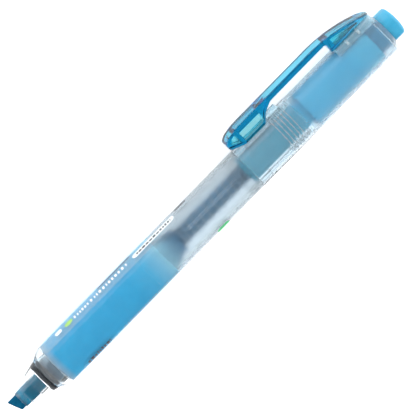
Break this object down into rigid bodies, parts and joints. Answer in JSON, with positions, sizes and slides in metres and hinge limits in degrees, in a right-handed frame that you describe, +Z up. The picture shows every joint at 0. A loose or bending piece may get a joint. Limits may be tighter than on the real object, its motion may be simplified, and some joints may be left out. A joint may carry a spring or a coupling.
{
  "type": "retractable highlighter",
  "caption": "Click-button retractable highlighter with a chisel felt nib, frosted barrel, unscrewing rear half and sprung pocket clip.",
  "frame": {"origin": "centre of the box's footprint, on the surface that the pen lies on", "axes": "+X along the pen's axis towards the nib, +Z up; the clip points to -Y and down, its outer edge on the surface"},
  "size_m": [0.1436, 0.0176, 0.0128],
  "materials": {
    "frosted_barrel": "frosted translucent polypropylene, glossy skin",
    "clear_nose": "clear moulded plastic",
    "black_rubber": "matt black elastomer",
    "white_plastic": "white moulded plastic",
    "cyan_tube": "saturated cyan translucent plastic",
    "pale_blue_plastic": "pale blue translucent plastic",
    "clear_joint": "pale clear plastic with a moulded thread",
    "spring_steel": "drawn spring wire",
    "felt_nib": "ink-soaked pressed felt",
    "clear_holder": "clear moulded plastic",
    "ink_fibre": "bundled fibre soaked with blue ink",
    "slate_plastic": "dark slate-blue plastic",
    "cyan_core": "cyan translucent plastic",
    "frosted_rear": "frosted pale blue translucent plastic",
    "clip_plastic": "transparent cyan plastic, polished",
    "button_plastic": "translucent cyan plastic, polished",
    "rotor_plastic": "blue acetal"
  },
  "bodies": {
    "front_unit": {"front_barrel": "frosted_barrel", "nozzle": "clear_nose", "front_seal": "black_rubber", "seal_washer": "white_plastic", "lip_seal": "black_rubber", "seal_cage": "white_plastic", "seal_tube": "cyan_tube", "tail_bush": "pale_blue_plastic", "tail_seal": "black_rubber", "joint_bush": "clear_joint", "return_spring": "spring_steel"},
    "refill": {"nib": "felt_nib", "nib_holder": "clear_holder", "reservoir_shell": "cyan_tube", "ink_reservoir": "ink_fibre", "tail_tube": "slate_plastic", "tail_plug": "slate_plastic", "carrier": "cyan_core"},
    "rear_unit": {"rear_barrel": "frosted_rear", "cam_sleeve": "cyan_core", "clip_root": "clip_plastic", "clip_pins": "white_plastic"},
    "button_unit": {"button": "button_plastic", "plunger": "cyan_core"},
    "rotor_unit": {"rotor": "rotor_plastic"},
    "clip": {"clip_arm": "clip_plastic"}
  },
  "joints": [
    {"name": "refill_slide", "type": "slide", "parent": "front_unit", "child": "refill", "axis": [-1, 0, 0], "range_m": [-0.001, 0.014], "deforming": ["return_spring", "lip_seal"]},
    {"name": "rear_unit_pull", "type": "slide", "parent": "front_unit", "child": "rear_unit", "axis": [-1, 0, 0], "range_m": [0, 0.045]},
    {"name": "button_slide", "type": "slide", "parent": "rear_unit", "child": "button_unit", "axis": [-1, 0, 0], "range_m": [-0.001, 0.014]},
    {"name": "rotor_turn", "type": "hinge", "parent": "button_unit", "child": "rotor_unit", "pos_m": [-0.0408, 0.00241, 0.0064], "axis": [-1, 0, 0], "range_deg": [-3.3, 45.1]},
    {"name": "clip_flex", "type": "hinge", "parent": "rear_unit", "child": "clip", "pos_m": [-0.054, -0.00733, 0.00222], "axis": [0, 0.3944, -0.9189], "range_deg": [0, 6], "stiffness_Nm_per_rad": 0.6}
  ],
  "couplings": [
    {"joint": "button_slide", "follows": "refill_slide", "ratio": 1},
    {"joint": "rotor_turn", "follows": "refill_slide", "rad_per_m": 56.1}
  ]
}
